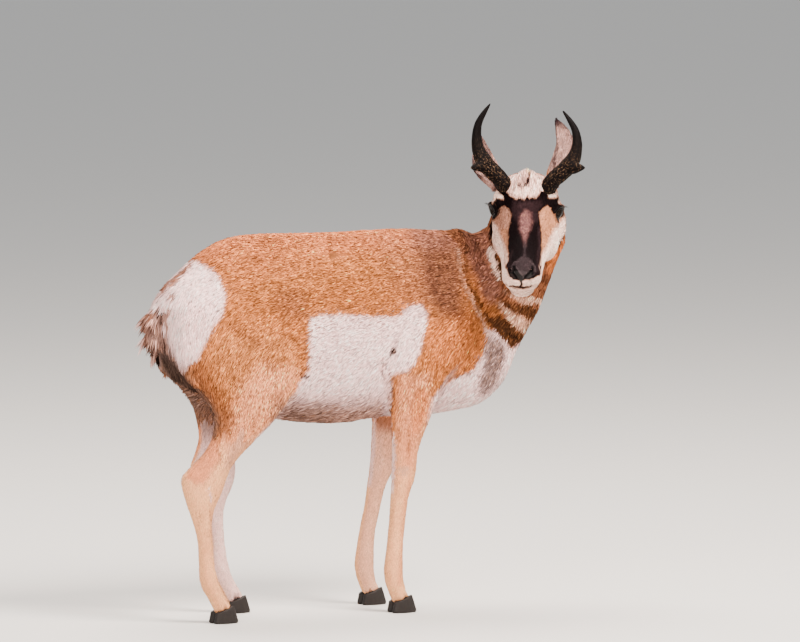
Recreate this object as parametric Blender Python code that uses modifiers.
"""A life-size pronghorn buck, standing still on four straight legs, its head turned to its right side.

Frame: metres, +Z up. The body points along +X and its right side faces -Y. The floor is Z = 0, and the
origin is the middle of the model's footprint box. The flesh is modelled whole, from lofts that follow the
trunk, neck, head and legs, fused into one skin, and then parted with thin cuts into named nodes.
"""

import math

import bmesh
import bpy
import numpy as np
from mathutils import Matrix, Vector

# Driving dimensions
WITHERS = 0.874  # height of the back over the shoulders
GAP = 0.0003  # what touching nodes keep between them
EYE_RADIUS = 0.0205
EYE_SPREAD = 0.0625  # from the head's middle to each eye's centre
LID_FORWARD = math.radians(32.0)  # how far each eye's opening looks forward
LID_OUT = 0.0095
LID_LONG = 0.0215
LID_TALL = 0.0185
LID_THICK = 0.0052
VIEW_TILT = 43.0  # the face's long axis, from the picture plane of who faces it, in degrees
EAR_THICKNESS = 0.0034
BODY_VOXEL = 0.0060
HEAD_VOXEL = 0.0028
BODY_TRIANGLES = 4900
HEAD_TRIANGLES = 2800
HORN_TRIANGLES = 340

# The head: eyes' midpoint, and how far the face dips and turns
EYES_MIDPOINT = Vector((0.4225, -0.1585, 0.918))
HEAD_AZIMUTH = math.radians(243.0)  # the way the face looks, about +Z from +X
HEAD_DIP = math.radians(41.0)  # the face's long axis below the horizontal
HEAD_YAW = math.radians(3.7)
HEAD_ROLL = math.radians(-1.1)

# The trunk's sections along X: x, back, widest level, belly, half width
TRUNK = (
    (-0.434, 0.724, 0.700, 0.665, 0.024),
    (-0.418, 0.754, 0.695, 0.605, 0.066),
    (-0.389, 0.793, 0.695, 0.558, 0.094),
    (-0.353, 0.824, 0.695, 0.530, 0.111),
    (-0.310, 0.852, 0.690, 0.508, 0.120),
    (-0.250, 0.872, 0.685, 0.486, 0.124),
    (-0.170, 0.877, 0.680, 0.459, 0.124),
    (-0.080, 0.874, 0.665, 0.443, 0.128),
    (0.020, 0.872, 0.655, 0.436, 0.131),
    (0.100, 0.873, 0.655, 0.443, 0.127),
    (0.160, 0.875, 0.660, 0.447, 0.120),
    (0.220, WITHERS + 0.003, 0.665, 0.443, 0.111),
    (0.270, WITHERS, 0.665, 0.445, 0.104),
    (0.320, 0.869, 0.660, 0.452, 0.097),
    (0.368, 0.854, 0.650, 0.459, 0.089),
    (0.410, 0.826, 0.640, 0.483, 0.079),
    (0.445, 0.760, 0.620, 0.520, 0.061),
    (0.471, 0.690, 0.602, 0.556, 0.028),
)

# The neck's sections: centre, direction of the throat, half depth, half width
NECK = (
    ((0.285, 0.000, 0.690), (0.50, 0.00, -0.86), 0.160, 0.098),
    ((0.350, -0.002, 0.695), (0.55, -0.03, -0.83), 0.158, 0.094),
    ((0.407, -0.010, 0.715), (0.64, -0.12, -0.74), 0.140, 0.088),
    ((0.449, -0.027, 0.762), (0.78, -0.42, -0.46), 0.114, 0.082),
    ((0.473, -0.050, 0.821), (0.66, -0.70, -0.28), 0.099, 0.083),
    ((0.475, -0.069, 0.879), (0.50, -0.83, -0.22), 0.089, 0.081),
    ((0.468, -0.081, 0.920), (0.34, -0.90, -0.26), 0.079, 0.072),
    ((0.460, -0.088, 0.948), (0.20, -0.92, -0.30), 0.054, 0.054),
)

# The head's sections in its own frame: forward, crown line, widest level, jaw line, half width,
# narrowing towards the crown, narrowing towards the jaw
HEAD = (
    (-0.112, 0.000, -0.025, -0.055, 0.036, 0.10, 0.10),
    (-0.095, 0.022, -0.022, -0.076, 0.056, 0.15, 0.20),
    (-0.065, 0.046, -0.014, -0.090, 0.067, 0.12, 0.35),
    (-0.035, 0.059, -0.008, -0.097, 0.072, 0.12, 0.42),
    (-0.005, 0.059, -0.006, -0.100, 0.075, 0.22, 0.42),
    (0.025, 0.052, -0.016, -0.099, 0.076, 0.38, 0.38),
    (0.055, 0.044, -0.030, -0.093, 0.071, 0.46, 0.36),
    (0.085, 0.038, -0.036, -0.086, 0.061, 0.42, 0.36),
    (0.115, 0.034, -0.036, -0.081, 0.0525, 0.34, 0.34),
    (0.145, 0.030, -0.034, -0.079, 0.0475, 0.26, 0.30),
    (0.170, 0.024, -0.032, -0.079, 0.0455, 0.20, 0.30),
    (0.187, 0.015, -0.031, -0.074, 0.0415, 0.18, 0.30),
    (0.199, 0.002, -0.030, -0.064, 0.0330, 0.16, 0.28),
    (0.206, -0.010, -0.028, -0.050, 0.0180, 0.12, 0.20),
)

# What swells on each side of the head: name, middle and radii, in the head's frame
HEAD_SWELLS = (
    ("brow", (0.053, -0.012, 0.022), (0.022, 0.032, 0.018)),
    ("cheek", (0.045, 0.036, -0.060), (0.031, 0.052, 0.040)),
    ("lip", (0.020, 0.176, -0.026), (0.024, 0.026, 0.018)),
)

# The mouth's level behind its front, and where it ends on each cheek, in the head's frame
MOUTH_FRONT = -0.0450
MOUTH_CORNER = (0.128, -0.0530)
MOUTH_GROOVE = 0.0022

# A nostril's line in the head's frame, for the left one: side, forward, up, radius
NOSTRIL = (
    (0.0100, 0.2060, -0.0060, 0.0020),
    (0.0150, 0.2010, 0.0010, 0.0042),
    (0.0205, 0.1950, 0.0045, 0.0040),
    (0.0250, 0.1850, 0.0020, 0.0014),
)

# A hind leg's level sections, on the right side: height, rear, front, distance from the middle, half width
HIND_LEG = (
    (0.810, -0.352, -0.200, 0.052, 0.042),
    (0.760, -0.394, -0.160, 0.063, 0.054),
    (0.700, -0.419, -0.134, 0.071, 0.061),
    (0.650, -0.430, -0.119, 0.078, 0.064),
    (0.600, -0.426, -0.117, 0.083, 0.061),
    (0.555, -0.397, -0.121, 0.087, 0.054),
    (0.510, -0.358, -0.148, 0.090, 0.046),
    (0.470, -0.339, -0.181, 0.091, 0.040),
    (0.430, -0.343, -0.224, 0.091, 0.034),
    (0.390, -0.368, -0.268, 0.090, 0.030),
    (0.360, -0.400, -0.296, 0.089, 0.0280),
    (0.338, -0.423, -0.306, 0.088, 0.0280),
    (0.300, -0.416, -0.320, 0.087, 0.0270),
    (0.268, -0.405, -0.337, 0.086, 0.0240),
    (0.235, -0.392, -0.345, 0.085, 0.0205),
    (0.200, -0.381, -0.344, 0.084, 0.0185),
    (0.160, -0.376, -0.341, 0.083, 0.0180),
    (0.128, -0.375, -0.337, 0.083, 0.0195),
    (0.102, -0.375, -0.330, 0.083, 0.0225),
    (0.080, -0.366, -0.322, 0.083, 0.0215),
    (0.056, -0.351, -0.307, 0.083, 0.0205),
    (0.034, -0.340, -0.293, 0.083, 0.0210),
    (0.010, -0.332, -0.285, 0.083, 0.0215),
)

# A foreleg's level sections, as above
FORELEG = (
    (0.790, 0.150, 0.290, 0.054, 0.032),
    (0.730, 0.128, 0.325, 0.070, 0.041),
    (0.670, 0.112, 0.343, 0.080, 0.046),
    (0.610, 0.096, 0.325, 0.086, 0.047),
    (0.565, 0.090, 0.283, 0.091, 0.044),
    (0.530, 0.100, 0.246, 0.092, 0.041),
    (0.490, 0.109, 0.226, 0.092, 0.036),
    (0.440, 0.114, 0.207, 0.090, 0.032),
    (0.400, 0.116, 0.190, 0.088, 0.029),
    (0.368, 0.117, 0.179, 0.087, 0.0270),
    (0.342, 0.117, 0.177, 0.086, 0.0265),
    (0.316, 0.117, 0.175, 0.086, 0.0265),
    (0.292, 0.115, 0.166, 0.085, 0.0245),
    (0.268, 0.113, 0.157, 0.085, 0.0210),
    (0.230, 0.111, 0.152, 0.084, 0.0185),
    (0.190, 0.107, 0.149, 0.084, 0.0170),
    (0.150, 0.103, 0.144, 0.084, 0.0175),
    (0.116, 0.098, 0.143, 0.084, 0.0205),
    (0.092, 0.096, 0.143, 0.084, 0.0235),
    (0.072, 0.099, 0.143, 0.084, 0.0215),
    (0.052, 0.107, 0.150, 0.084, 0.0205),
    (0.034, 0.115, 0.162, 0.084, 0.0210),
    (0.010, 0.121, 0.168, 0.084, 0.0215),
)

# How far the left legs stand ahead of the right ones: height, shift along X
HIND_STEP = (
    (0.0, 0.113), (0.200, 0.113), (0.300, 0.118), (0.345, 0.107),
    (0.380, 0.082), (0.450, 0.042), (0.600, 0.026), (0.780, 0.0),
)
FORE_STEP = (
    (0.0, 0.008), (0.170, 0.012), (0.230, 0.021), (0.300, 0.029),
    (0.430, 0.041), (0.520, 0.033), (0.620, 0.0),
)

# The left horn's centre line in the head's frame: side, forward, up, half width, depth to width
HORN = (
    (0.0460, -0.0260, 0.0260, 0.0175, 1.10),
    (0.0510, -0.0300, 0.0490, 0.0185, 1.16),
    (0.0610, -0.0340, 0.0680, 0.0188, 1.18),
    (0.0790, -0.0400, 0.0850, 0.0190, 1.14),
    (0.0970, -0.0490, 0.1020, 0.0198, 1.06),
    (0.1110, -0.0640, 0.1260, 0.0155, 1.06),
    (0.1160, -0.0830, 0.1520, 0.0118, 1.04),
    (0.1130, -0.1020, 0.1770, 0.0088, 1.02),
    (0.1015, -0.1190, 0.1960, 0.0062, 1.00),
    (0.0860, -0.1370, 0.2130, 0.0022, 1.00),
)
HORN_REACH = {-1: 0.95, 1: 0.81}  # the left horn is the shorter one above its prong
HORN_LEAN = {-1: 0.0, 1: 0.008}  # how far each horn's tip leans inwards
PRONG_LEVEL = 0.100
PRONG_AT = (0.0940, -0.0460, 0.0990)
PRONG_TIPS = {-1: (0.1265, -0.0140, 0.1190), 1: (0.1365, -0.0215, 0.1245)}

# The ears' centre lines as the face's viewer sees them: side, up, and back from the eyes, for each ear
EARS = {
    1: ((0.051, 0.050, 0.024), (0.056, 0.079, 0.040), (0.070, 0.114, 0.060), (0.080, 0.149, 0.075),
        (0.073, 0.181, 0.086), (0.056, 0.210, 0.094)),
    -1: ((-0.059, 0.050, 0.024), (-0.076, 0.074, 0.040), (-0.095, 0.098, 0.060), (-0.109, 0.125, 0.080),
         (-0.118, 0.150, 0.098), (-0.121, 0.174, 0.112)),
}
EAR_HALF_WIDTHS = {
    1: (0.014, 0.0175, 0.0220, 0.0225, 0.0165, 0.0030),
    -1: (0.016, 0.0240, 0.0270, 0.0235, 0.0160, 0.0030),
}
EAR_CURLS = (165, 150, 110, 82, 66, 50)  # how far each edge comes round from the back, in degrees

# The tail's core, hanging on the middle line: x, height, half width, half thickness
TAIL = (
    (-0.355, 0.800, 0.016, 0.012),
    (-0.388, 0.784, 0.023, 0.015),
    (-0.416, 0.756, 0.031, 0.018),
    (-0.434, 0.720, 0.036, 0.019),
    (-0.443, 0.684, 0.034, 0.017),
    (-0.446, 0.655, 0.024, 0.012),
    (-0.446, 0.638, 0.008, 0.005),
)

# Locks of long hair: length, width and thickness in the middle, and how far the tip stands off
TAIL_LOCK = (0.078, 0.022, 0.0085, 0.003)
RUMP_LOCK = (0.092, 0.027, 0.0085, 0.006)
LOCK_SHAPE = ((0.0, 0.70), (0.30, 1.0), (0.62, 0.72), (0.86, 0.34))
LOCK_ROOT = 0.008  # how deep a lock's root is sunk
HANG = 0.7  # how fast a hanging lock turns down

# Hooves: each claw's length and width on the floor, and its levels: share of the height, length, width, lean
CLAW_LENGTH = 0.060
CLAW_WIDTH = 0.0235
CLAW_APART = 0.0030
CLAW_LEVELS = ((0, 1.0, 1.0, 0.0), (0.12, 1.03, 1.04, 0.0), (0.6, 0.88, 0.98, 0.06), (1, 0.76, 0.90, 0.12))
RIM_HEIGHT = 0.034
RIM_SLOPE = 0.36
HOOF_CENTRES = {
    "fore_right": (0.142, -0.084),
    "fore_left": (0.150, 0.084),
    "hind_right": (-0.313, -0.083),
    "hind_left": (-0.200, 0.083),
}

LEG_CUT = 0.434  # the level where each leg's node starts, just under the belly
NECK_CUT = ((0.355, 0.0, 0.760), (0.85, 0.0, 0.53))
HEAD_CUT = ((0.466, -0.086, 0.900), (-0.10, -0.75, 0.65))

COLOURS = {
    "tan": (0.56, 0.30, 0.14, 1.0),
    "russet": (0.44, 0.22, 0.10, 1.0),
    "pale": (0.70, 0.52, 0.38, 1.0),
    "white": (0.82, 0.77, 0.72, 1.0),
    "mask": (0.045, 0.030, 0.028, 1.0),
    "horn": (0.030, 0.022, 0.018, 1.0),
    "hoof": (0.025, 0.022, 0.020, 1.0),
    "eye": (0.010, 0.008, 0.008, 1.0),
}
ROUGHNESS = {"horn": 0.5, "hoof": 0.4, "eye": 0.05}


def clear_scene():
    """Empties the scene, object by object."""
    for obj in list(bpy.data.objects):
        bpy.data.objects.remove(obj, do_unlink=True)


def make_collection(name):
    """A collection in the scene."""
    collection = bpy.data.collections.new(name)
    bpy.context.scene.collection.children.link(collection)
    return collection


def make_material(name):
    """A plain Principled BSDF in one of the animal's colours."""
    material = bpy.data.materials.new(name)
    material.use_nodes = True
    shader = material.node_tree.nodes["Principled BSDF"]
    shader.inputs["Base Color"].default_value = COLOURS[name]
    shader.inputs["Roughness"].default_value = ROUGHNESS.get(name, 0.85)
    shader.inputs["Metallic"].default_value = 0.0
    return material


def through(rows, spans):
    """A smooth curve through rows of numbers (Catmull-Rom), with so many steps between two rows."""
    rows = np.array(rows, float)
    ends = np.vstack([2 * rows[0] - rows[1], rows, 2 * rows[-1] - rows[-2]])
    made = []
    for i in range(len(rows) - 1):
        a, b, c, d = ends[i : i + 4]
        for step in range(spans):
            t = step / spans
            square = (2 * a - 5 * b + 4 * c - d) * t**2
            cube = (3 * b - 3 * c + d - a) * t**3
            made.append(0.5 * (2 * b + (c - a) * t + square + cube))
    made.append(rows[-1])
    return np.array(made)


def level_value(table, height):
    """A value read from a table of (height, value), straight between its rows."""
    heights = [row[0] for row in table]
    values = [row[1] for row in table]
    return float(np.interp(height, heights, values))


def new_object(name, mesh, collection):
    """Links a mesh as a named object."""
    obj = bpy.data.objects.new(name, mesh)
    collection.objects.link(obj)
    return obj


def loft(name, rings, collection):
    """A closed body through rings of points, each ring running the same way, with a cap at both ends."""
    bm = bmesh.new()
    loops = [[bm.verts.new(point) for point in ring] for ring in rings]
    count = len(loops[0])
    for lower, upper in zip(loops, loops[1:]):
        for i in range(count):
            j = (i + 1) % count
            bm.faces.new((lower[i], lower[j], upper[j], upper[i]))
    bm.faces.new(list(reversed(loops[0])))
    bm.faces.new(loops[-1])
    bmesh.ops.recalc_face_normals(bm, faces=bm.faces)
    mesh = bpy.data.meshes.new(name)
    bm.to_mesh(mesh)
    bm.free()
    return new_object(name, mesh, collection)


def ellipsoid(name, centre, radii, collection, turn=None, segments=24):
    """A smooth ball stretched to three radii, turned by a matrix if one is given."""
    bm = bmesh.new()
    bmesh.ops.create_uvsphere(bm, u_segments=segments, v_segments=segments // 2, radius=1.0)
    scale = Matrix.Diagonal((*radii, 1.0))
    turned = turn.to_4x4() if turn else Matrix.Identity(4)
    bmesh.ops.transform(bm, matrix=Matrix.Translation(centre) @ turned @ scale, verts=bm.verts)
    mesh = bpy.data.meshes.new(name)
    bm.to_mesh(mesh)
    bm.free()
    return new_object(name, mesh, collection)


def bulge(value, power):
    """A signed power, which squares a cosine's or a sine's curve up or draws it in."""
    return math.copysign(abs(value) ** power, value)


def trunk_rings(sides=40):
    """Upright sections of the trunk, with the belly side fuller than the back."""
    rings = []
    for x, back, wide, belly, half in through(TRUNK, 3):
        ring = []
        for i in range(sides):
            angle = 2 * math.pi * i / sides
            c, s = math.cos(angle), math.sin(angle)
            height = (back - wide) if s > 0 else (wide - belly)
            ring.append((x, half * bulge(c, 0.92 if s > 0 else 0.85), wide + height * bulge(s, 1.0)))
        rings.append(ring)
    return rings


def leg_rings(table, side, step=None, sides=24):
    """Level sections of a leg on one side (-1 right, 1 left), stepped forward by a table of shifts."""
    rings = []
    for z, rear, front, out, half in through(table, 3):
        shift = level_value(step, z) if step else 0.0
        centre = 0.5 * (rear + front) + shift
        depth = 0.5 * (front - rear)
        ring = []
        for i in range(sides):
            angle = 2 * math.pi * i / sides
            ring.append(
                (centre + depth * math.cos(angle), side * out + half * bulge(math.sin(angle), 0.9), z)
            )
        rings.append(ring)
    return rings


def neck_frames(spans=3):
    """Centre, throat direction, side direction and half sizes of each section of the neck."""
    rows = [(*centre, *throat, deep, wide) for centre, throat, deep, wide in NECK]
    smooth = through(rows, spans)
    frames = []
    for i, row in enumerate(smooth):
        before, after = smooth[max(i - 1, 0)], smooth[min(i + 1, len(smooth) - 1)]
        along = Vector(after[:3] - before[:3]).normalized()
        throat = Vector(row[3:6])
        throat = (throat - along * throat.dot(along)).normalized()
        frames.append((Vector(row[:3]), throat, along.cross(throat), row[6], row[7]))
    return frames


def neck_rings(sides=32):
    """Sections of the neck across its curved line, a little narrower at the throat than at the nape."""
    rings = []
    for centre, throat, side, deep, wide in neck_frames():
        ring = []
        for i in range(sides):
            angle = 2 * math.pi * i / sides
            c, s = math.cos(angle), math.sin(angle)
            ring.append(centre + throat * (deep * c) + side * (wide * s * (1.0 - 0.10 * c)))
        rings.append(ring)
    return rings


def head_matrix():
    """The head's frame: x to the animal's left, y forward along the face, z up from the forehead."""
    looks = Vector((math.cos(HEAD_AZIMUTH), math.sin(HEAD_AZIMUTH), 0.0))
    forward = looks * math.cos(HEAD_DIP) - Vector((0, 0, 1)) * math.sin(HEAD_DIP)
    up = looks * math.sin(HEAD_DIP) + Vector((0, 0, 1)) * math.cos(HEAD_DIP)
    left = up.cross(forward)
    base = Matrix((left, forward, up)).transposed().to_4x4()
    turn = Matrix.Rotation(HEAD_ROLL, 4, "Y") @ Matrix.Rotation(HEAD_YAW, 4, "Z")
    return Matrix.Translation(EYES_MIDPOINT) @ base @ turn


def head_rings(frame, sides=36):
    """Sections across the head, drawn in above and below its widest level."""
    rings = []
    for y, crown, wide, jaw, half, above, below in through(HEAD, 3):
        ring = []
        for i in range(sides):
            angle = 2 * math.pi * i / sides
            c, s = math.cos(angle), math.sin(angle)
            height = (crown - wide) if s > 0 else (wide - jaw)
            drawn = 1.0 - (above if s > 0 else below) * abs(s) ** 1.6
            ring.append(frame @ Vector((half * bulge(c, 0.8) * drawn, y, wide + height * bulge(s, 0.9))))
        rings.append(ring)
    return rings


def tube_rings(points, radii, sides=16, depths=None, first_side=None):
    """Rings round a curved line, by carrying one side direction along it."""
    points = [Vector(p) for p in points]
    side = Vector(first_side) if first_side else Vector((1, 0, 0))
    rings = []
    for i, point in enumerate(points):
        along = (points[min(i + 1, len(points) - 1)] - points[max(i - 1, 0)]).normalized()
        side = (side - along * side.dot(along)).normalized()
        across = along.cross(side) * (depths[i] if depths is not None else 1.0)
        ring = []
        for k in range(sides):
            angle = 2 * math.pi * k / sides
            ring.append(point + (side * math.cos(angle) + across * math.sin(angle)) * radii[i])
        rings.append(ring)
    return rings


def activate(obj):
    """Makes one object the active and only selected one."""
    bpy.ops.object.select_all(action="DESELECT")
    bpy.context.view_layer.objects.active = obj
    obj.select_set(True)


def apply_modifier(obj, kind, **settings):
    """Adds one modifier and applies it."""
    modifier = obj.modifiers.new(kind.title(), kind)
    for key, value in settings.items():
        setattr(modifier, key, value)
    activate(obj)
    bpy.ops.object.modifier_apply(modifier=modifier.name)


def join(objects, name):
    """Joins meshes into one object, with their walls still crossing."""
    bpy.ops.object.select_all(action="DESELECT")
    for obj in objects:
        obj.select_set(True)
    bpy.context.view_layer.objects.active = objects[0]
    bpy.ops.object.join()
    joined = bpy.context.view_layer.objects.active
    joined.name = name
    return joined


def duplicate(obj, name, collection):
    """A copy of an object with its own mesh."""
    return new_object(name, obj.data.copy(), collection)


def boolean(obj, other, operation, solver="EXACT"):
    """One Boolean with another object, applied. The other object stays."""
    apply_modifier(obj, "BOOLEAN", operation=operation, object=other, solver=solver)


def remove(*objects):
    """Removes helper objects."""
    for obj in objects:
        bpy.data.objects.remove(obj, do_unlink=True)


def keep_largest(obj):
    """Keeps the object's largest closed surface."""
    bm = bmesh.new()
    bm.from_mesh(obj.data)
    bmesh.ops.remove_doubles(bm, verts=bm.verts, dist=1e-6)
    bm.faces.ensure_lookup_table()
    left, shells = set(bm.faces), []
    while left:
        seed = left.pop()
        shell, front = {seed}, [seed]
        while front:
            face = front.pop()
            for edge in face.edges:
                for other in edge.link_faces:
                    if other in left:
                        left.discard(other)
                        shell.add(other)
                        front.append(other)
        shells.append(shell)
    shells.sort(key=lambda shell: sum(face.calc_area() for face in shell))
    for shell in shells[:-1]:
        bmesh.ops.delete(bm, geom=list(shell), context="FACES")
    bmesh.ops.triangulate(bm, faces=bm.faces)
    bm.to_mesh(obj.data)
    bm.free()


def cut_free(mesh, point, normal, seed, keep_piece):
    """Cuts a mesh at a plane. Keeps the piece ahead of it that holds the seed, or all the rest."""
    bm = bmesh.new()
    bm.from_mesh(mesh)
    bmesh.ops.bisect_plane(
        bm, geom=bm.verts[:] + bm.edges[:] + bm.faces[:], dist=1e-7, plane_co=point, plane_no=normal
    )
    bm.faces.ensure_lookup_table()
    ahead = {f for f in bm.faces if (f.calc_center_median() - point).dot(normal) > 0}
    start = min(ahead, key=lambda f: (f.calc_center_median() - seed).length)
    piece, front = {start}, [start]
    while front:
        face = front.pop()
        for edge in face.edges:
            for other in edge.link_faces:
                if other in ahead and other not in piece:
                    piece.add(other)
                    front.append(other)
    gone = [f for f in bm.faces if (f in piece) != keep_piece]
    bmesh.ops.delete(bm, geom=gone, context="FACES")
    rim = [e for e in bm.edges if e.is_boundary]
    bmesh.ops.remove_doubles(bm, verts=list({v for e in rim for v in e.verts}), dist=2e-5)
    rim = [e for e in bm.edges if e.is_boundary]
    bmesh.ops.holes_fill(bm, edges=rim, sides=0)
    bmesh.ops.triangulate(bm, faces=[f for f in bm.faces if len(f.verts) > 3])
    bmesh.ops.recalc_face_normals(bm, faces=bm.faces)
    made = bpy.data.meshes.new("cut")
    bm.to_mesh(made)
    bm.free()
    return made


def split_off(whole, name, point, normal, seed, collection):
    """Parts a named piece from the whole with a thin cut, and leaves the rest in the whole."""
    point, normal, seed = Vector(point), Vector(normal).normalized(), Vector(seed)
    piece = cut_free(whole.data, point + normal * GAP / 2, normal, seed, True)
    whole.data = cut_free(whole.data, point - normal * GAP / 2, normal, seed, False)
    piece.name = name
    return new_object(name, piece, collection)


def swell(obj, name):
    """A copy of a skin grown by the gap, to cut back what rests on it."""
    swollen = duplicate(obj, name, obj.users_collection[0])
    apply_modifier(swollen, "DISPLACE", strength=GAP * 1.2, mid_level=0.0)
    return swollen


def cut_back(obj, swollen, solver="EXACT"):
    """Takes off whatever of an object lies in a swollen skin, so that it starts on that skin."""
    boolean(obj, swollen, "DIFFERENCE", solver)
    keep_largest(obj)


def thin(obj, triangles):
    """Thins a mesh to so many triangles."""
    apply_modifier(obj, "TRIANGULATE")
    share = triangles / len(obj.data.polygons)
    if share < 1.0:
        apply_modifier(obj, "DECIMATE", decimate_type="COLLAPSE", ratio=share)


def cut_flat(obj, point, normal):
    """Keeps what lies behind a plane, closed with a flat face."""
    bm = bmesh.new()
    bm.from_mesh(obj.data)
    cut = bmesh.ops.bisect_plane(
        bm,
        geom=bm.verts[:] + bm.edges[:] + bm.faces[:],
        dist=1e-7,
        plane_co=Vector(point),
        plane_no=Vector(normal).normalized(),
        clear_outer=True,
    )
    rim = [item for item in cut["geom_cut"] if isinstance(item, bmesh.types.BMEdge)]
    bmesh.ops.holes_fill(bm, edges=rim, sides=0)
    bmesh.ops.triangulate(bm, faces=[f for f in bm.faces if len(f.verts) > 3])
    bm.to_mesh(obj.data)
    bm.free()


def make_flesh(frame, collection):
    """The trunk, neck, head and legs fused into one thinned skin, cut off flat in the neck's top."""
    pieces = [
        loft("trunk_loft", trunk_rings(), collection),
        loft("neck_loft", neck_rings(), collection),
        loft("head_loft", head_rings(frame), collection),
        loft("hind_right_loft", leg_rings(HIND_LEG, -1), collection),
        loft("hind_left_loft", leg_rings(HIND_LEG, 1, HIND_STEP), collection),
        loft("fore_right_loft", leg_rings(FORELEG, -1), collection),
        loft("fore_left_loft", leg_rings(FORELEG, 1, FORE_STEP), collection),
    ]
    body = join(pieces, "body")
    apply_modifier(body, "REMESH", mode="VOXEL", voxel_size=BODY_VOXEL)
    apply_modifier(body, "SMOOTH", factor=0.5, iterations=12)
    point, normal = Vector(HEAD_CUT[0]), Vector(HEAD_CUT[1]).normalized()
    cut_flat(body, point + normal * 0.012, normal)
    thin(body, BODY_TRIANGLES)
    return body


def make_head(frame, collection):
    """The head with its brows, cheeks and lids, and the top of the neck, as one thinned skin."""
    turn = frame.to_3x3()

    def at(side, forward, up):
        return frame @ Vector((side, forward, up))

    pieces = [loft("head_loft", head_rings(frame), collection)]
    pieces.append(loft("neck_top_loft", neck_rings(), collection))
    for side in (-1, 1):
        for name, middle, radii in HEAD_SWELLS:
            place = at(side * middle[0], middle[1], middle[2])
            pieces.append(ellipsoid(name, place, radii, collection, turn))
        looks = Vector((side * math.cos(LID_FORWARD), math.sin(LID_FORWARD), 0.0))
        middle = Vector((side * EYE_SPREAD, 0, 0)) + looks * LID_OUT
        upright = Vector((0, 0, 1))
        level = looks.cross(upright)
        ring = []
        for i in range(25):
            angle = 2 * math.pi * i / 24
            along, over = LID_LONG * math.cos(angle), LID_TALL * math.sin(angle)
            ring.append(middle + level * along + upright * over)
        tube = tube_rings(ring, [LID_THICK] * 25, 10, None, looks)
        rings = [[frame @ p for p in loop] for loop in tube]
        pieces.append(loft("lid", rings, collection))
    pieces.append(ellipsoid("chin", at(0, 0.177, -0.070), (0.027, 0.022, 0.017), collection, turn))
    pieces.append(ellipsoid("nose", at(0, 0.186, 0.000), (0.026, 0.020, 0.017), collection, turn))
    head = join(pieces, "head")
    apply_modifier(head, "REMESH", mode="VOXEL", voxel_size=HEAD_VOXEL)
    apply_modifier(head, "SMOOTH", factor=0.5, iterations=5)
    point, normal = Vector(HEAD_CUT[0]), Vector(HEAD_CUT[1]).normalized()
    cut_flat(head, point - normal * 0.012, -normal)
    thin(head, HEAD_TRIANGLES)
    cut_flat(head, point + normal * GAP / 2, -normal)
    return head


def cut_face(head, frame, collection):
    """Cuts the mouth's line, the nostrils and the eyes' sockets."""
    inverse = frame.inverted()
    points = []
    corner_forward, corner_up = MOUTH_CORNER
    for i in range(19):
        angle = math.radians(-100 + 200 * i / 18)
        level = MOUTH_FRONT + (corner_up - MOUTH_FRONT) * math.sin(angle) ** 2
        start = Vector((0, corner_forward, level))
        direction = Vector((math.sin(angle) * 0.62, math.cos(angle), 0.0)).normalized()
        hit, place, normal, index = head.ray_cast(frame @ start, frame.to_3x3() @ direction)
        if hit:
            points.append(inverse @ place)
    line = [frame @ p for p in points]
    ends = len(line) - 1
    radii = [MOUTH_GROOVE * (0.35 + 0.65 * math.sin(math.pi * i / ends)) for i in range(len(line))]
    upwards = frame.to_3x3() @ Vector((0, 0, 1))
    groove = loft("groove", tube_rings(line, radii, 6, None, upwards), collection)
    boolean(head, groove, "DIFFERENCE")
    remove(groove)
    for side in (-1, 1):
        line = [frame @ Vector((side * a, b, c)) for a, b, c, radius in NOSTRIL]
        radii = [row[3] for row in NOSTRIL]
        rings = tube_rings(line, radii, 8, None, upwards)
        nostril = loft("nostril", rings, collection)
        boolean(head, nostril, "DIFFERENCE")
        remove(nostril)
        centre = frame @ Vector((side * EYE_SPREAD, 0, 0))
        socket = ellipsoid("socket", centre, (EYE_RADIUS + GAP,) * 3, collection, None, 16)
        boolean(head, socket, "DIFFERENCE")
        remove(socket)
    keep_largest(head)


def make_horn(name, side, frame, collection):
    """A horn: a tapering beam with a short prong, on one side of the head."""
    rows = through(HORN, 3)
    points = []
    for out, forward, up, half, depth in rows:
        above = max(up - PRONG_LEVEL, 0.0)
        inward = HORN_LEAN[side] * (above / (HORN[-1][2] - PRONG_LEVEL)) ** 2
        lower = above * (1.0 - HORN_REACH[side])
        points.append(frame @ Vector((side * (out - inward), forward, up - lower)))
    outward = frame.to_3x3() @ Vector((side, 0.4, 0.0))
    beam = loft(name, tube_rings(points, rows[:, 3], 14, rows[:, 4], outward), collection)
    root = Vector((side * PRONG_AT[0], PRONG_AT[1], PRONG_AT[2]))
    tip = Vector(PRONG_TIPS[side])
    tip.x *= side
    steps = ((0.0, 0.0175), (0.3, 0.0160), (0.6, 0.0110), (0.85, 0.0055), (1.0, 0.0012))
    line = [frame @ root.lerp(tip, share) for share, radius in steps]
    prong = loft("prong", tube_rings(line, [radius for share, radius in steps], 10), collection)
    boolean(beam, prong, "UNION")
    remove(prong)
    thin(beam, HORN_TRIANGLES)
    return beam


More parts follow.
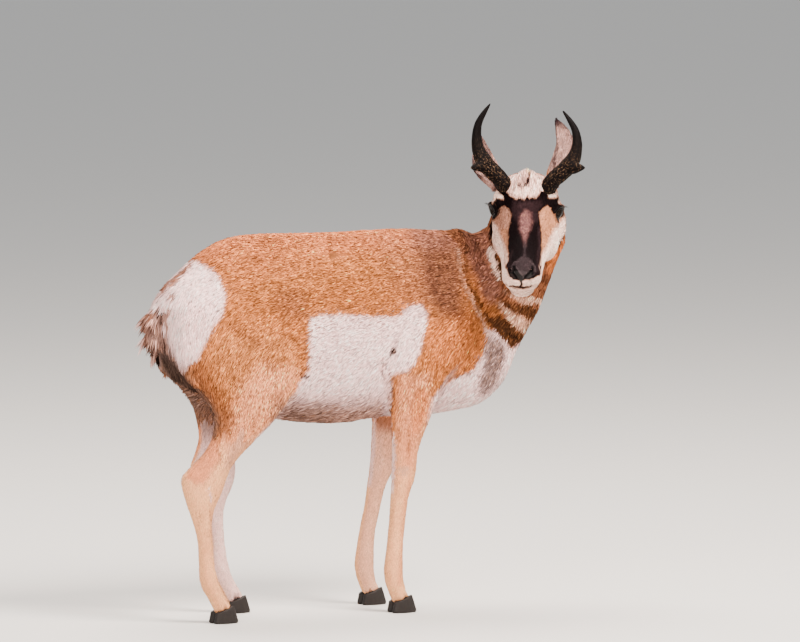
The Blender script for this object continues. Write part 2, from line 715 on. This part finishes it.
def make_ear(name, side, frame, collection):
    """A cupped ear, hollow towards the face's viewer, standing behind the horn."""
    rows = []
    for (out, up, back), half, curl in zip(EARS[side], EAR_HALF_WIDTHS[side], EAR_CURLS):
        rows.append((out, *seen_to_head(up, back), half, math.radians(curl)))
    rows = through(rows, 2)
    view = Vector((side * 0.45, 0.682, 0.731)).normalized()
    rings = []
    for i, row in enumerate(rows):
        before, after = rows[max(i - 1, 0)], rows[min(i + 1, len(rows) - 1)]
        along = Vector(after[:3] - before[:3]).normalized()
        opening = (view - along * view.dot(along)).normalized()
        across = along.cross(opening)
        radius = row[3] / math.sin(min(row[4], math.pi / 2))
        centre = Vector(row[:3]) + opening * (radius - row[3] * 0.55)
        wall = min(EAR_THICKNESS, radius * 0.6)
        ring = []
        for outer in (True, False):
            reach = radius if outer else radius - wall
            for k in range(9):
                share = k / 8 if outer else 1 - k / 8
                angle = -row[4] + 2 * row[4] * share
                point = centre + across * (reach * math.sin(angle)) - opening * (reach * math.cos(angle))
                ring.append(frame @ point)
        rings.append(ring)
    return loft(name, rings, collection)


def seen_to_head(up, back):
    """Turns a height and a depth as the face's viewer sees them into forward and up in the head's frame."""
    tilt = math.radians(VIEW_TILT)
    return (-up * math.cos(tilt) - back * math.sin(tilt), up * math.sin(tilt) - back * math.cos(tilt))


def make_tail(collection):
    """The tail: a flat tapering brush on the middle line of the rump."""
    rows = through(TAIL, 2)[:-1]
    rings = []
    for i, (x, z, half, thick) in enumerate(rows):
        before, after = rows[max(i - 1, 0)], rows[min(i + 1, len(rows) - 1)]
        along = Vector((after[0] - before[0], 0, after[1] - before[1])).normalized()
        out = Vector((0, 1, 0)).cross(along)
        ring = []
        for k in range(12):
            angle = 2 * math.pi * k / 12
            ring.append(Vector((x, half * math.cos(angle), z)) + out * (thick * math.sin(angle)))
        rings.append(ring)
    return loft("tail", rings, collection)


def make_lock(name, skin, root, lie, sizes, hanging, collection):
    """A flat tapered lock. It follows the skin along its lie, or hangs past it, and lifts at its tip."""
    length, width, thick, lift = sizes
    lie = Vector(lie).normalized()
    spot = Vector(root)
    frames = []
    travelled = 0.0
    for share, swell_by in LOCK_SHAPE + ((1.0, 0.0),):
        spot = spot + lie * (length * (share - travelled))
        travelled = share
        if hanging:
            lie = (lie + Vector((0, 0, -HANG * share))).normalized()
        if share == 0.0 or not hanging:
            hit, place, normal, index = skin.closest_point_on_mesh(spot)
            spot = place.copy()
            lie = (lie - normal * lie.dot(normal)).normalized()
        place = spot
        height = -LOCK_ROOT * (1 - share) ** 3 + lift * share**1.5 + thick * 0.15
        frames.append((place + normal * height, lie.cross(normal), normal, swell_by))
    bm = bmesh.new()
    loops = []
    for centre, across, normal, swell_by in frames[:-1]:
        half, high = 0.5 * width * swell_by, 0.5 * thick * (0.35 + 0.65 * swell_by)
        arms = (across * half, normal * high, -across * half, -normal * high)
        loops.append([bm.verts.new(centre + arm) for arm in arms])
    tip = bm.verts.new(frames[-1][0])
    for lower, upper in zip(loops, loops[1:]):
        for i in range(4):
            j = (i + 1) % 4
            bm.faces.new((lower[i], lower[j], upper[j]))
            bm.faces.new((lower[i], upper[j], upper[i]))
    for i in range(4):
        bm.faces.new((loops[-1][i], loops[-1][(i + 1) % 4], tip))
    bm.faces.new(list(reversed(loops[0])))
    bmesh.ops.triangulate(bm, faces=[f for f in bm.faces if len(f.verts) > 3])
    bmesh.ops.recalc_face_normals(bm, faces=bm.faces)
    mesh = bpy.data.meshes.new(name)
    bm.to_mesh(mesh)
    bm.free()
    return new_object(name, mesh, collection)


def fuse_locks(obj, places, sizes, seed, hanging=False):
    """Grows locks on a node from roots and lies, each a little different, and fuses them with it."""
    rng = np.random.default_rng(seed)
    holder = make_collection("locks")
    for root, lie in places:
        length, width, thick, lift = sizes
        vary = rng.uniform(0.85, 1.15, 3)
        sway = Vector(rng.uniform(-0.12, 0.12, 3))
        varied = (length * vary[0], width * vary[1], thick, lift * vary[2])
        make_lock("lock", obj, root, Vector(lie).normalized() + sway, varied, hanging, holder)
    modifier = obj.modifiers.new("Locks", "BOOLEAN")
    modifier.operation = "UNION"
    modifier.operand_type = "COLLECTION"
    modifier.collection = holder
    modifier.solver = "MANIFOLD"
    activate(obj)
    bpy.ops.object.modifier_apply(modifier=modifier.name)
    for lock in list(holder.objects):
        remove(lock)
    bpy.data.collections.remove(holder)
    keep_largest(obj)


def tail_locks():
    """Roots and lies of the tail's locks: down both edges and the outer face, and a brush at the end."""
    places = []
    for level, spread in ((0.748, 0.030), (0.706, 0.033), (0.668, 0.022)):
        x = float(np.interp(level, [row[1] for row in reversed(TAIL)], [row[0] for row in reversed(TAIL)]))
        for side in (-1, 1):
            places.append(((x, side * spread, level), (0.10, side * 0.14, -1)))
            places.append(((x - 0.020, side * spread * 0.42, level - 0.014), (0.10, side * 0.05, -1)))
    return places


def rump_locks():
    """Roots and lies of the long white hair on both sides of the tail."""
    places = []
    rows = (
        (0.790, (0.046, 0.074)),
        (0.750, (0.060, 0.086)),
        (0.705, (0.052, 0.077, 0.102)),
        (0.655, (0.062, 0.090)),
        (0.612, (0.050, 0.078)),
    )
    for level, sides in rows:
        for out in sides:
            for side in (-1, 1):
                places.append(((-0.46 + out * 0.35, side * out, level), (-0.25, side * 0.22, -1)))
    return places


def make_claw(name, x, y, inward, collection):
    """One half of a cloven hoof: pointed at the toe, flat on the floor, its rim sloping up to the front."""
    centre = y - inward * (CLAW_WIDTH + CLAW_APART) / 2
    rings = []
    for share, length, width, back in CLAW_LEVELS:
        ring = []
        for k in range(16):
            angle = 2 * math.pi * k / 16
            c, s = math.cos(angle), math.sin(angle)
            taper = 1.0 - 0.45 * max(c, 0.0) ** 1.5
            px = x + CLAW_LENGTH * (0.5 * length * c - 0.5 * back)
            py = centre + 0.5 * CLAW_WIDTH * width * bulge(s, 0.8) * taper
            rim = RIM_HEIGHT + RIM_SLOPE * (px - x) - GAP
            ring.append((px, py, share * rim))
        rings.append(ring)
    return loft(name, rings, collection)


def shade(obj, material):
    """Gives an object its material and smooth shading."""
    obj.data.materials.clear()
    obj.data.materials.append(material)
    obj.data.polygons.foreach_set("use_smooth", [True] * len(obj.data.polygons))


def main():
    """Builds every node."""
    clear_scene()
    parts = make_collection("pronghorn")
    frame = head_matrix()
    nodes = {}

    body = make_flesh(frame, parts)
    fuse_locks(body, rump_locks(), RUMP_LOCK, 11)
    rump = swell(body, "rump_cutter")
    tail = make_tail(parts)
    fuse_locks(tail, tail_locks(), TAIL_LOCK, 5, hanging=True)
    cut_back(tail, rump, "MANIFOLD")
    remove(rump)
    nodes["tail"] = (tail, "white")

    point, normal = Vector(HEAD_CUT[0]), Vector(HEAD_CUT[1]).normalized()
    cut_flat(body, point - normal * GAP / 2, normal)
    nodes["neck"] = (split_off(body, "neck", *NECK_CUT, (0.44, 0.0, 0.80), parts), "russet")
    down = (0, 0, -1)
    for limb, (x, y) in HOOF_CENTRES.items():
        leg = split_off(body, "leg_" + limb, (0, 0, LEG_CUT), down, (x + 0.02, y, 0.40), parts)
        cut_flat(leg, (x, y, RIM_HEIGHT), (RIM_SLOPE, 0, -1))
        nodes["leg_" + limb] = (leg, "pale")
        for inward, which in ((1, "outer"), (-1, "inner")):
            facing = inward if y < 0 else -inward
            name = f"hoof_{limb}_{which}"
            nodes[name] = (make_claw(name, x, y, facing, parts), "hoof")
    body.name = "torso"
    nodes["torso"] = (body, "tan")

    head = make_head(frame, parts)
    skull = swell(head, "skull_cutter")
    for side, word in ((-1, "right"), (1, "left")):
        horn = make_horn("horn_" + word, side, frame, parts)
        cut_back(horn, skull)
        nodes["horn_" + word] = (horn, "horn")
        ear = make_ear("ear_" + word, side, frame, parts)
        cut_back(ear, skull)
        nodes["ear_" + word] = (ear, "pale")
        centre = frame @ Vector((side * EYE_SPREAD, 0, 0))
        nodes["eye_" + word] = (ellipsoid("eye_" + word, centre, (EYE_RADIUS,) * 3, parts, None, 16), "eye")
    remove(skull)
    cut_face(head, frame, parts)
    nodes["head"] = (head, "mask")

    materials = {name: make_material(name) for name in COLOURS}
    for name, (obj, material) in nodes.items():
        obj.name = name
        obj.data.name = name
        shade(obj, materials[material])
    centre_on_origin([obj for obj, material in nodes.values()])


def centre_on_origin(objects):
    """Moves every mesh so that the middle of the model's footprint box is the origin."""
    corners = np.array([vertex.co[:] for obj in objects for vertex in obj.data.vertices])
    middle = (corners.min(0) + corners.max(0)) / 2
    for obj in objects:
        obj.data.transform(Matrix.Translation((-middle[0], -middle[1], 0.0)))


main()
